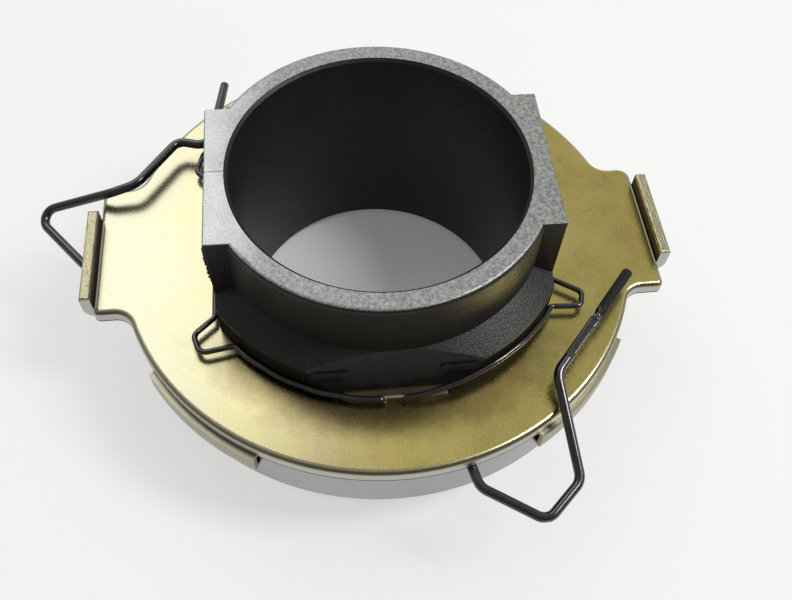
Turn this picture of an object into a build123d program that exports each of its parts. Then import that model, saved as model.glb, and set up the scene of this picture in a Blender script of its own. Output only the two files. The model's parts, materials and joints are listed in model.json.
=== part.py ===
from build123d import *
import math
import os

# Clutch release bearing carried on a moulded guide sleeve. Millimetres, +Z up.
# The origin is on the bore axis, at the top face of the pressed thrust plate.
# The clutch fork pushes on the plate's two ears, which lie along X.

# Guide sleeve
BORE_R = 33.0
SLEEVE_TOP_Z = 26.5
SLEEVE_BOTTOM_Z = -30.0
NECK_R = 38.3
WING_HALF_WIDTH = 38.0
WING_HALF_DEPTH = 19.3
FLAT_FOOT_X = 37.6
COLLAR_EDGE_R = 1.2
WING_EDGE_R = 0.4
BORE_CHAMFER = 0.7
SKIRT_R = 44.0
SKIRT_TOP_Z = 8.0
SHOULDER_TOP_Z = 11.5
FACET_LEAN = 0.371
RIB_START_X = 9.8
RIB_END_X = 18.0
RIB_Z = 6.5
RIB_WIDTH = 1.6
RIB_RISE = 0.6
TUBE_R = 36.3
TUBE_END_CHAMFER = 0.8

# Thrust plate, pressed from sheet
PLATE_T = 3.2
PLATE_R = 61.0
PLATE_HOLE_R = 36.7
PLATE_ROLL_R = 1.3
EAR_REACH = 66.7
RIGHT_EAR_Y = (-18.8, 18.0)
LEFT_EAR_Y = (-16.5, 20.3)
EAR_ROOT_R = 4.5
EAR_FRONT_R = 1.5
EAR_REAR_R = 3.0
BEND_R = 0.5
OUTER_BEND_R = 3.0
TAB_T = 2.5
TAB_INNER_X = 66.3
RIGHT_TAB_Y = (-12.3, 12.3)
LEFT_TAB_Y = (-15.0, 10.6)
TAB_TOP_Z = 4.0
TAB_EDGE_R = 0.5
LUG_BEND_R = 1.2
LUG_OUTER_Y = 42.3
LUG_HALF_WIDTH = 11.5
LUG_TOP_Z = 1.8
LUG_CORNER_R = 0.5
RELIEF = 0.5

# Wire parts
CLIP_WIRE_R = 0.65
CLIP_R = 44.7
CLIP_Z = 2.2
CLIP_FLAT_X = 38.6
CLIP_TIP_Z = 1.0
CLIP_RISE = (0.8, 2.0, 2.5, 1.8, 0.7)
SPRING_WIRE_R = 1.0
SPRING_LEG_R = 57.0
SPRING_LEG_Z = -4.3
SPRING_LEG_SWEEP = 14.0
RIGHT_SPRING_ANGLE = -75.8
LEFT_SPRING_ANGLE = 180.0
BEND_INSIDE = 2.2

# Bearing cup and its clamps
CUP_R = 60.0
CUP_T = 1.5
CUP_BOTTOM_Z = -18.5
CUP_CORNER_R = 2.5
CUP_MOUTH_R = 50.0
CLAMP_R = 62.2
CLAMP_T = 1.0
CLAMP_TOP_Z = -3.3
CLAMP_BOTTOM_Z = -8.6
CLAMP_SPAN = 30.0
CLAMP_STARTS = (-150.0, -60.0, 30.0, 120.0)

# Ball bearing
BALL_COUNT = 22
BALL_R = 4.0
PITCH_R = 48.0
BALL_Z = -11.3
GROOVE_R = 4.25
OUTER_RING_R = 57.0
OUTER_SHOULDER_R = 49.7
OUTER_TOP_Z = -5.7
OUTER_BOTTOM_Z = -16.9
SEAT_R = 53.0
SHIELD_T = 0.6
SHIELD_INNER_R = 46.9
SHIELD_TOP_Z = -5.8
SEAL_TOP_Z = -16.3
CAGE_INNER_R = 46.75
CAGE_OUTER_R = 49.25
CAGE_TOP_Z = -10.2
CAGE_BOTTOM_Z = -15.95
POCKET_R = 4.15
CONTACT_BORE_R = 38.0
CONTACT_SHOULDER_R = 46.3
CONTACT_TOP_Z = -5.9
CONTACT_NECK_R = 44.0
CONTACT_FLANGE_R = 49.0
CONTACT_BOTTOM_Z = -31.5
CONTACT_EDGE_R = 3.0

# Disc spring between the plate and the outer ring
DISC_INNER_R = 44.5
DISC_OUTER_R = 54.6
DISC_T = 0.8
DISC_TOP_Z = -3.3
DISC_BOTTOM_Z = -5.6


def turned(*section):
    """A ring turned about the bore axis from its half section of (radius, height) points."""
    return revolve(make_face(Plane.XZ * Polyline(*section, close=True)), Axis.Z)


def on_circle(radius, angle, height):
    """The point at a radius and an angle in degrees around the bore axis."""
    turn = math.radians(angle)
    return (radius * math.cos(turn), radius * math.sin(turn), height)


def arc_route(radius, start, end, height, corners):
    """Corner points and bend radii of a wire that follows a circle from one angle to another.

    The corners stand a little outside the circle, so that the bent wire lies on it.
    """
    half_step = (end - start) / (2 * corners)
    corner_r = radius / math.cos(math.radians(half_step))
    points = [on_circle(corner_r, start + (2 * k + 1) * half_step, height) for k in range(corners)]
    return points, [0.5 * radius if corners > 2 else 0.3 * radius] * corners


def bent_wire(points, bends, wire_r):
    """A round wire swept along straight runs joined by tangent bends."""
    route = FilletPolyline(*points, radius=bends)
    return sweep(Plane(origin=route @ 0, z_dir=route % 0) * Circle(wire_r), path=route)


def sleeve_collar():
    """Round neck with a soft top edge, and the two flat-topped wings that stand out of it."""
    neck = Cylinder(NECK_R, SLEEVE_TOP_Z, align=(Align.CENTER, Align.CENTER, Align.MIN))
    neck = fillet(neck.edges().group_by(Axis.Z)[-1], COLLAR_EDGE_R)
    wings = extrude(Rectangle(2 * WING_HALF_WIDTH, 2 * WING_HALF_DEPTH), SLEEVE_TOP_Z)
    wings = fillet(wings.edges().filter_by(Axis.Z), WING_EDGE_R)
    wings = fillet(wings.edges().group_by(Axis.Z)[-1], WING_EDGE_R)
    return neck + wings


def sleeve_shoulder():
    """Sloping shoulder and round skirt, with a sloped facet front and back."""
    shoulder = turned((BORE_R, 0), (SKIRT_R, 0), (SKIRT_R, SKIRT_TOP_Z),
                      (NECK_R, SHOULDER_TOP_Z), (BORE_R, SHOULDER_TOP_Z))
    facet_foot_y = NECK_R + FACET_LEAN * SHOULDER_TOP_Z
    waste = make_face(Plane.YZ * Polyline((facet_foot_y, 0), (NECK_R, SHOULDER_TOP_Z),
                                          (2 * SKIRT_R, SHOULDER_TOP_Z), (2 * SKIRT_R, 0), close=True))
    front_waste = extrude(waste, SKIRT_R, both=True)
    return shoulder - front_waste - mirror(front_waste, Plane.XZ)


def side_waste():
    """Waste beside the sleeve: the flat side leans in towards its foot by the mould's draft."""
    section = Polyline((WING_HALF_WIDTH, SLEEVE_TOP_Z), (2 * SKIRT_R, SLEEVE_TOP_Z), (2 * SKIRT_R, 0),
                       (FLAT_FOOT_X, 0), close=True)
    return extrude(make_face(Plane.XZ * section), SKIRT_R, both=True)


def facet_ribs():
    """Two low ribs on the front facet, above the wire clip."""
    slope = 1 / math.hypot(1, FACET_LEAN)
    facet_y = -NECK_R - FACET_LEAN * (SHOULDER_TOP_Z - RIB_Z)
    middle_x = (RIB_START_X + RIB_END_X) / 2
    facet = Plane(origin=(middle_x, facet_y, RIB_Z), x_dir=(1, 0, 0), z_dir=(0, -slope, FACET_LEAN * slope))
    rib = extrude(facet * SlotOverall(RIB_END_X - RIB_START_X, RIB_WIDTH), RIB_RISE, both=True)
    return rib + mirror(rib, Plane.YZ)


def guide_sleeve():
    """The moulded sleeve: winged collar, shoulder and skirt on a tube that passes the plate."""
    tube = turned((BORE_R, SLEEVE_BOTTOM_Z), (TUBE_R - TUBE_END_CHAMFER, SLEEVE_BOTTOM_Z),
                  (TUBE_R, SLEEVE_BOTTOM_Z + TUBE_END_CHAMFER), (TUBE_R, 1), (BORE_R, 1))
    ribs = facet_ribs()
    body = sleeve_collar() + sleeve_shoulder() + ribs + mirror(ribs, Plane.XZ)
    body -= side_waste() + mirror(side_waste(), Plane.YZ)
    sleeve = body + tube
    notch_inner_y = LUG_OUTER_Y - PLATE_T - 0.1
    notch = Pos(0, notch_inner_y + SKIRT_R / 2, 0) * Box(2 * LUG_HALF_WIDTH + 0.6, SKIRT_R, 2 * LUG_TOP_Z + 0.4)
    sleeve -= notch + mirror(notch, Plane.XZ)
    mouth_r = BORE_R + BORE_CHAMFER
    bore = turned((0, SLEEVE_BOTTOM_Z - 1), (mouth_r + 1, SLEEVE_BOTTOM_Z - 1),
                  (BORE_R, SLEEVE_BOTTOM_Z + BORE_CHAMFER), (BORE_R, SLEEVE_TOP_Z - BORE_CHAMFER),
                  (mouth_r + 1, SLEEVE_TOP_Z + 1), (0, SLEEVE_TOP_Z + 1))
    return sleeve - bore


def ear_outline(front_y, rear_y):
    """One ear of the plate as a flat shape along +X, from its front edge to its rear edge."""
    ear = Pos(EAR_REACH / 2, (front_y + rear_y) / 2) * Rectangle(EAR_REACH, rear_y - front_y)
    ends = ear.vertices().filter_by(lambda v: v.X > EAR_REACH - 1).sort_by(Axis.Y)
    ear = fillet(ends[0], EAR_FRONT_R)
    ends = ear.vertices().filter_by(lambda v: v.X > EAR_REACH - 1).sort_by(Axis.Y)
    return fillet(ends[-1], EAR_REAR_R)


def plate_blank():
    """Flat plate: a disc with two ears, its upper rim rolled over by the press."""
    outline = Circle(PLATE_R) + ear_outline(*RIGHT_EAR_Y) + mirror(ear_outline(*LEFT_EAR_Y), Plane.YZ)
    roots = outline.vertices().filter_by(lambda v: abs(v.X) < PLATE_R - 1)
    outline = fillet(roots, EAR_ROOT_R)
    blank = extrude(outline, -PLATE_T)
    return fillet(blank.faces().sort_by(Axis.Z)[-1].edges(), PLATE_ROLL_R)


def bent_strip(face_at, thickness, tip_z, inside_r, outside_r):
    """Section of a strip that bends up out of the plate, with its outer side at face_at on X."""
    inner = face_at - thickness
    flat_end = min(inner - inside_r, face_at - outside_r) - 0.2
    slant = 1 - math.sqrt(0.5)
    lines = Polyline((inner - inside_r, 0), (flat_end, 0), (flat_end, -PLATE_T), (face_at - outside_r, -PLATE_T))
    lines += ThreePointArc((face_at - outside_r, -PLATE_T),
                           (face_at - outside_r * slant, outside_r * slant - PLATE_T),
                           (face_at, outside_r - PLATE_T))
    lines += Polyline((face_at, outside_r - PLATE_T), (face_at, tip_z), (inner, tip_z), (inner, inside_r))
    lines += ThreePointArc((inner, inside_r), (inner - inside_r * slant, inside_r * slant), (inner - inside_r, 0))
    return make_face(Plane.XZ * lines)


def ear_tab(front_y, rear_y):
    """The upturned tab at the end of an ear, with softened edges round its top."""
    section = bent_strip(TAB_INNER_X + TAB_T, TAB_T, TAB_TOP_Z, BEND_R, OUTER_BEND_R)
    tab = Pos(0, rear_y, 0) * extrude(section, rear_y - front_y)
    return fillet(tab.edges().group_by(Axis.Z)[-1], TAB_EDGE_R)


def sleeve_lug():
    """One of the two short lugs at the hole's edge, along X before it is turned into place."""
    section = bent_strip(PLATE_T - LUG_OUTER_Y, PLATE_T, LUG_TOP_Z, LUG_BEND_R, LUG_BEND_R + PLATE_T)
    lug = extrude(section, LUG_HALF_WIDTH, both=True)
    return fillet(lug.edges().filter_by(Axis.X).group_by(Axis.Z)[-1], LUG_CORNER_R)


def tab_gap(front_y, rear_y):
    """Waste that opens the end of an ear for its tab."""
    length = rear_y - front_y + 2 * RELIEF
    return Pos(TAB_INNER_X - BEND_R + EAR_REACH / 2, (front_y + rear_y) / 2, 0) * Box(EAR_REACH, length, 4 * PLATE_T)


def thrust_plate():
    """Pressed plate with an upturned tab on each ear and two lugs that hold the sleeve's skirt."""
    plate = plate_blank() - tab_gap(*RIGHT_TAB_Y) - mirror(tab_gap(*LEFT_TAB_Y), Plane.YZ)
    plate -= Cylinder(PLATE_HOLE_R, 4 * PLATE_T)
    plate -= Box(2 * (LUG_HALF_WIDTH + RELIEF), 2 * (LUG_OUTER_Y + LUG_BEND_R), 4 * PLATE_T)
    plate += ear_tab(*RIGHT_TAB_Y) + mirror(ear_tab(*LEFT_TAB_Y), Plane.YZ)
    for turn in (90, -90):
        plate += Rot(0, 0, turn) * sleeve_lug()
    return plate


def sleeve_clip():
    """Spring wire ring round the skirt, open at the front, with a pinched loop at each corner."""
    flat = CLIP_FLAT_X
    left_loop = [(-34.2, -28.8), (-41.9, -30.1), (-43.3, -25.3), (-flat, -21.0)]
    left_rear_loop = [(-flat, 17.6), (-43.6, 22.6), (-41.6, 29.4), (-34.2, 28.8)]
    right_loop = [(37.6, -24.2), (44.6, -24.6), (45.6, -20.8), (flat, -16.2)]
    left_bends = [1.2, 2.0, 2.0, 1.2]
    right_bends = [1.2, 1.5, 1.5, 1.2]
    left_end = math.degrees(math.atan2(left_loop[0][1], left_loop[0][0]))
    right_end = math.degrees(math.atan2(right_loop[0][1], right_loop[0][0]))
    front_left, left_arc = arc_route(CLIP_R, -94.5, left_end, CLIP_Z, 4)
    rear, rear_arc = arc_route(CLIP_R, -left_end, -right_end, CLIP_Z, 8)
    front_right, right_arc = arc_route(CLIP_R, right_end, -86.8, CLIP_Z, 5)
    front_right = [(x, y, z + rise) for (x, y, z), rise in zip(front_right, CLIP_RISE)]
    loops_left = [(x, y, CLIP_Z) for x, y in left_loop + left_rear_loop]
    loops_right = [(x, -y, CLIP_Z) for x, y in right_loop] + [(x, y, CLIP_Z) for x, y in reversed(right_loop)]
    points = [on_circle(CLIP_R, -93.6, CLIP_TIP_Z), on_circle(CLIP_R, -93.8, CLIP_Z), *front_left,
              *loops_left, *rear, *loops_right, *front_right,
              on_circle(CLIP_R, -87.5, CLIP_Z), on_circle(CLIP_R, -87.7, CLIP_TIP_Z)]
    bends = [0.8, *left_arc, *left_bends, *reversed(left_bends), *rear_arc,
             *right_bends, *reversed(right_bends), *right_arc, 0.8]
    return bent_wire(points, bends, CLIP_WIRE_R)


def spring_root(angle, side):
    """Hidden end of a fork spring: a short leg along the cup wall, up to its way out."""
    start = angle + side * SPRING_LEG_SWEEP
    corners, bends = arc_route(SPRING_LEG_R, start, angle, SPRING_LEG_Z, 2)
    points = [on_circle(SPRING_LEG_R, start, SPRING_LEG_Z), *corners, on_circle(SPRING_LEG_R, angle, SPRING_LEG_Z)]
    return points, [*bends, BEND_INSIDE]


def fork_spring_right():
    """Wire hook that leaves the cup at the front right, dips, and lies back over the plate."""
    points, bends = spring_root(RIGHT_SPRING_ANGLE, -1)
    points += [(15.9, -63.6, -4.3), (28.8, -72.0, -4.5), (37.2, -64.3, -3.6),
               (35.0, -42.6, 4.5), (47.8, -28.2, 5.4), (56.7, -17.7, 4.5)]
    bends += [4.0, 3.0, 3.5, 4.0, 6.0]
    return bent_wire(points, bends, SPRING_WIRE_R)


def fork_spring_left():
    """The same kind of hook on the left ear: it runs under the ear and back over its rear edge."""
    points, bends = spring_root(LEFT_SPRING_ANGLE, 1)
    points += [(-70.3, 0.0, -4.3), (-84.6, 17.4, -4.0), (-64.0, 16.2, 3.4), (-57.6, 17.6, 4.5),
               (-48.0, 31.1, 4.5), (-40.4, 28.9, 4.5), (-38.0, 41.0, 4.5), (-36.3, 50.8, 4.5)]
    bends += [3.5, 3.0, 5.0, 6.0, 3.0, 3.0, 6.0]
    return bent_wire(points, bends, SPRING_WIRE_R)


def spring_notch(angle):
    """Waste that opens the cup wall where a fork spring comes out."""
    slot_top = -PLATE_T + 1
    slot_bottom = SPRING_LEG_Z - SPRING_WIRE_R - 0.3
    slot = Box(8 * CUP_T, 2 * SPRING_WIRE_R + 0.8, slot_top - slot_bottom)
    return Rot(0, 0, angle) * Pos(CUP_R, 0, (slot_top + slot_bottom) / 2) * slot


def bearing_cup():
    """Pressed cup that holds the bearing under the plate, open in the middle of its floor."""
    inner_r = CUP_R - CUP_T
    floor_z = CUP_BOTTOM_Z + CUP_T
    cup = turned((CUP_R, -PLATE_T), (CUP_R, CUP_BOTTOM_Z), (CUP_MOUTH_R, CUP_BOTTOM_Z),
                 (CUP_MOUTH_R, floor_z), (inner_r, floor_z), (inner_r, -PLATE_T))
    outer_corner = cup.edges().filter_by(GeomType.CIRCLE).group_by(Axis.Z)[0].sort_by(SortBy.RADIUS)[-1]
    cup = fillet(outer_corner, CUP_CORNER_R)
    return cup - spring_notch(RIGHT_SPRING_ANGLE) - spring_notch(LEFT_SPRING_ANGLE)


def bearing_clamp(start):
    """Channel section crimped round the edge of the cup, open towards the cup wall."""
    section = Polyline((CUP_R, CLAMP_TOP_Z), (CLAMP_R, CLAMP_TOP_Z), (CLAMP_R, CLAMP_BOTTOM_Z),
                       (CUP_R, CLAMP_BOTTOM_Z), (CUP_R, CLAMP_BOTTOM_Z + CLAMP_T),
                       (CLAMP_R - CLAMP_T, CLAMP_BOTTOM_Z + CLAMP_T),
                       (CLAMP_R - CLAMP_T, CLAMP_TOP_Z - CLAMP_T), (CUP_R, CLAMP_TOP_Z - CLAMP_T), close=True)
    channel = revolve(make_face(Plane.XZ * section), Axis.Z, CLAMP_SPAN)
    return Rot(0, 0, start) * channel


def disc_spring():
    """Coned spring washer that presses the outer ring onto the cup floor but lets it float."""
    return turned((DISC_INNER_R, DISC_TOP_Z), (DISC_OUTER_R, DISC_BOTTOM_Z + DISC_T),
                  (DISC_OUTER_R, DISC_BOTTOM_Z), (DISC_INNER_R, DISC_TOP_Z - DISC_T))


def ball_groove():
    """Waste torus of the ball track, shared by both rings."""
    return Pos(0, 0, BALL_Z) * Torus(PITCH_R, GROOVE_R)


def outer_ring():
    """Outer race, still in use, with a seat at each side for its shield and seal."""
    shield_seat_z = SHIELD_TOP_Z - SHIELD_T
    ring = turned((OUTER_RING_R, OUTER_TOP_Z), (OUTER_RING_R, OUTER_BOTTOM_Z), (SEAT_R, OUTER_BOTTOM_Z),
                  (SEAT_R, SEAL_TOP_Z), (OUTER_SHOULDER_R, SEAL_TOP_Z), (OUTER_SHOULDER_R, shield_seat_z),
                  (SEAT_R, shield_seat_z), (SEAT_R, OUTER_TOP_Z))
    rims = ring.edges().filter_by(GeomType.CIRCLE).filter_by(lambda e: e.radius > OUTER_RING_R - 0.1)
    return chamfer(rims, 0.6) - ball_groove()


def contact_ring():
    """Inner race in one piece with the crowned face that turns with the clutch fingers."""
    section_neck_top = OUTER_BOTTOM_Z - 0.6
    ring = turned((CONTACT_BORE_R, CONTACT_TOP_Z), (CONTACT_SHOULDER_R, CONTACT_TOP_Z),
                  (CONTACT_SHOULDER_R, section_neck_top), (CONTACT_NECK_R, section_neck_top - 1.5),
                  (CONTACT_NECK_R, -22.0), (CONTACT_FLANGE_R, -24.5),
                  (CONTACT_FLANGE_R, CONTACT_BOTTOM_Z), (CONTACT_BORE_R, CONTACT_BOTTOM_Z))
    foot = ring.edges().filter_by(GeomType.CIRCLE).group_by(Axis.Z)[0].sort_by(SortBy.RADIUS)
    ring = fillet(foot[-1], CONTACT_EDGE_R)
    foot = ring.edges().filter_by(GeomType.CIRCLE).group_by(Axis.Z)[0].sort_by(SortBy.RADIUS)
    ring = chamfer(foot[0], 1.0)
    return ring - ball_groove()


def ball_cage():
    """Crown cage: a ring under the balls, with fingers that reach up between them."""
    ring = Pos(0, 0, CAGE_BOTTOM_Z) * extrude(Circle(CAGE_OUTER_R) - Circle(CAGE_INNER_R), CAGE_TOP_Z - CAGE_BOTTOM_Z)
    pockets = [Pos(*on_circle(PITCH_R, 360 * k / BALL_COUNT, BALL_Z)) * Sphere(POCKET_R) for k in range(BALL_COUNT)]
    return ring - pockets


def ball(index):
    """One bearing ball in its place on the pitch circle."""
    return Pos(*on_circle(PITCH_R, 360 * index / BALL_COUNT, BALL_Z)) * Sphere(BALL_R)


def grease_shield(outer_r, top_z):
    """Thin ring pressed into the outer race, just clear of the contact ring."""
    return turned((SHIELD_INNER_R, top_z), (outer_r, top_z), (outer_r, top_z - SHIELD_T),
                  (SHIELD_INNER_R, top_z - SHIELD_T))


def build_nodes():
    """Every physical piece by its node's name."""
    nodes = {
        "guide_sleeve": guide_sleeve(),
        "thrust_plate": thrust_plate(),
        "sleeve_clip": sleeve_clip(),
        "fork_spring_right": fork_spring_right(),
        "fork_spring_left": fork_spring_left(),
        "bearing_cup": bearing_cup(),
        "disc_spring": disc_spring(),
        "outer_ring": outer_ring(),
        "upper_shield": grease_shield(SEAT_R, SHIELD_TOP_Z),
        "lower_seal": grease_shield(SEAT_R, SEAL_TOP_Z),
        "contact_ring": contact_ring(),
        "ball_cage": ball_cage(),
    }
    for number, start in enumerate(CLAMP_STARTS, 1):
        nodes[f"bearing_clamp_{number}"] = bearing_clamp(start)
    for index in range(BALL_COUNT):
        nodes[f"ball_{index + 1:02d}"] = ball(index)
    return nodes


os.makedirs("parts", exist_ok=True)
for name, shape in build_nodes().items():
    export_step(shape, f"parts/{name}.step")
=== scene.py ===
"""Looks of a clutch release bearing on its moulded guide sleeve.

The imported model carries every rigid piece. This script dresses those pieces, replaces the wire parts with
finer bent wire, adds the flash that the mould leaves, and sets the stage, the light and the camera.
Lengths are metres; values named *_mm are millimetres.
"""

import json
import logging
import math
from dataclasses import dataclass
from enum import Enum

import bpy
import numpy as np
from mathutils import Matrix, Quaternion, Vector

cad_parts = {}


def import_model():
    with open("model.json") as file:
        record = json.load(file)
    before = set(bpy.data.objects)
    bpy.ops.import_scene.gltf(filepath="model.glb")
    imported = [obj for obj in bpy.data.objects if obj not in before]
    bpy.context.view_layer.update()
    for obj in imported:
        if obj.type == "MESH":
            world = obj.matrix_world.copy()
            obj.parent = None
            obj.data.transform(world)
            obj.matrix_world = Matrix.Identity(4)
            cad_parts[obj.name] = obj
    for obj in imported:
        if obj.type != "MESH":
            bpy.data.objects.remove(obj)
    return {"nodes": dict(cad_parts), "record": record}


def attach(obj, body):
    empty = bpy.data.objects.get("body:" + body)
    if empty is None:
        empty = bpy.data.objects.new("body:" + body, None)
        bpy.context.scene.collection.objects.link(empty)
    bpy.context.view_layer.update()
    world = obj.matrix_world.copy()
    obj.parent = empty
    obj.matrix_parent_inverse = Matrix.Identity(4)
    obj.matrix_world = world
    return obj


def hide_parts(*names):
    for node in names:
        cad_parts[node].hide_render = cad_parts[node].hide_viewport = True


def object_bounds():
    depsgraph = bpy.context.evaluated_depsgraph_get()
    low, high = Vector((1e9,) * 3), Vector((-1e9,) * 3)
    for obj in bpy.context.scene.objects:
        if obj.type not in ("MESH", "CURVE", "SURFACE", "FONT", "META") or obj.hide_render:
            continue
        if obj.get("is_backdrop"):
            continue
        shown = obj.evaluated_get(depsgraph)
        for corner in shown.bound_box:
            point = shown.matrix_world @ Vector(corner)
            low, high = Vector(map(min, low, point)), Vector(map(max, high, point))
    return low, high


LOG = logging.getLogger("release_bearing")
MM = 0.001

Colour = tuple[float, float, float]
Point = tuple[float, float, float]
Stretch = tuple[float, float, float]
Span = tuple[float, float]
Stop = tuple[float, Colour]
Box = tuple[Vector, Vector]
Socket = bpy.types.NodeSocket

# The middle range of a noise value, and the whole range of a mask.
NOISE_CORE: Span = (0.3, 0.7)
WHOLE: Span = (0.0, 1.0)

# How far one turn round a piece goes on its UV map, whose other side is in metres.
WRAP_SHARE = 0.01

# Where a mix node has its first input, its second input and its output, for values and for colours.
VALUE_SOCKETS = (2, 3, 0)
COLOUR_SOCKETS = (6, 7, 2)


class NodeKind(Enum):
    """The shader nodes that the finishes are made of."""

    COORDINATES = "ShaderNodeTexCoord"
    MAPPING = "ShaderNodeMapping"
    NOISE = "ShaderNodeTexNoise"
    RAMP = "ShaderNodeValToRGB"
    MIX = "ShaderNodeMix"
    MATH = "ShaderNodeMath"
    BUMP = "ShaderNodeBump"
    SEPARATE = "ShaderNodeSeparateXYZ"
    MAP_RANGE = "ShaderNodeMapRange"
    GEOMETRY = "ShaderNodeNewGeometry"
    UV = "ShaderNodeUVMap"
    COMBINE = "ShaderNodeCombineXYZ"
    LIGHT_PATH = "ShaderNodeLightPath"
    VECTOR_MATHS = "ShaderNodeVectorMath"


class Operation(Enum):
    """What a maths node does."""

    ADD = "ADD"
    MULTIPLY = "MULTIPLY"
    ABSOLUTE = "ABSOLUTE"
    MAXIMUM = "MAXIMUM"


class Axis(Enum):
    """The axes of the object, by the name of their sockets."""

    ACROSS = "X"
    ALONG = "Y"
    UP = "Z"


@dataclass(frozen=True)
class Mottle:
    """A cloudy noise: the size of a blotch, the number of its finer octaves, and their strength."""

    size_mm: float
    detail: float = 3.0
    roughness: float = 0.55


@dataclass(frozen=True)
class Step:
    """Where a mask runs between 0 and its full share, over a range of what drives it."""

    low: float
    high: float
    share: float = 1.0

    def metres(self) -> "Step":
        """The same step, from millimetres to metres."""
        return Step(self.low * MM, self.high * MM, self.share)


@dataclass(frozen=True)
class Relief:
    """How deep a bump goes, where less than nothing is a groove, and how strongly it shows."""

    depth_mm: float
    strength: float


def rgba(colour: Colour) -> tuple[float, float, float, float]:
    """The colour with full opacity."""
    return (*colour, 1.0)


def in_metres(span_mm: Span) -> Span:
    """A span from millimetres to metres."""
    return span_mm[0] * MM, span_mm[1] * MM


def set_stops(ramp: bpy.types.ColorRamp, stops: tuple[Stop, ...]) -> None:
    """Give a colour ramp its stops.

    Args:
        ramp: a new ramp with two stops of its own.
        stops: places and colours, in rising order.
    """
    while len(ramp.elements) < len(stops):
        ramp.elements.new(0.5)
    for element, (place, colour) in zip(ramp.elements, stops):
        element.position = place
        element.color = rgba(colour)


def placed(name: str, data: bpy.types.ID) -> bpy.types.Object:
    """A new object around its data, linked to the scene.

    Args:
        name: the object's name.
        data: its mesh, light or camera.

    Returns:
        The object.
    """
    thing = bpy.data.objects.new(name, data)
    bpy.context.scene.collection.objects.link(thing)
    return thing


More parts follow.
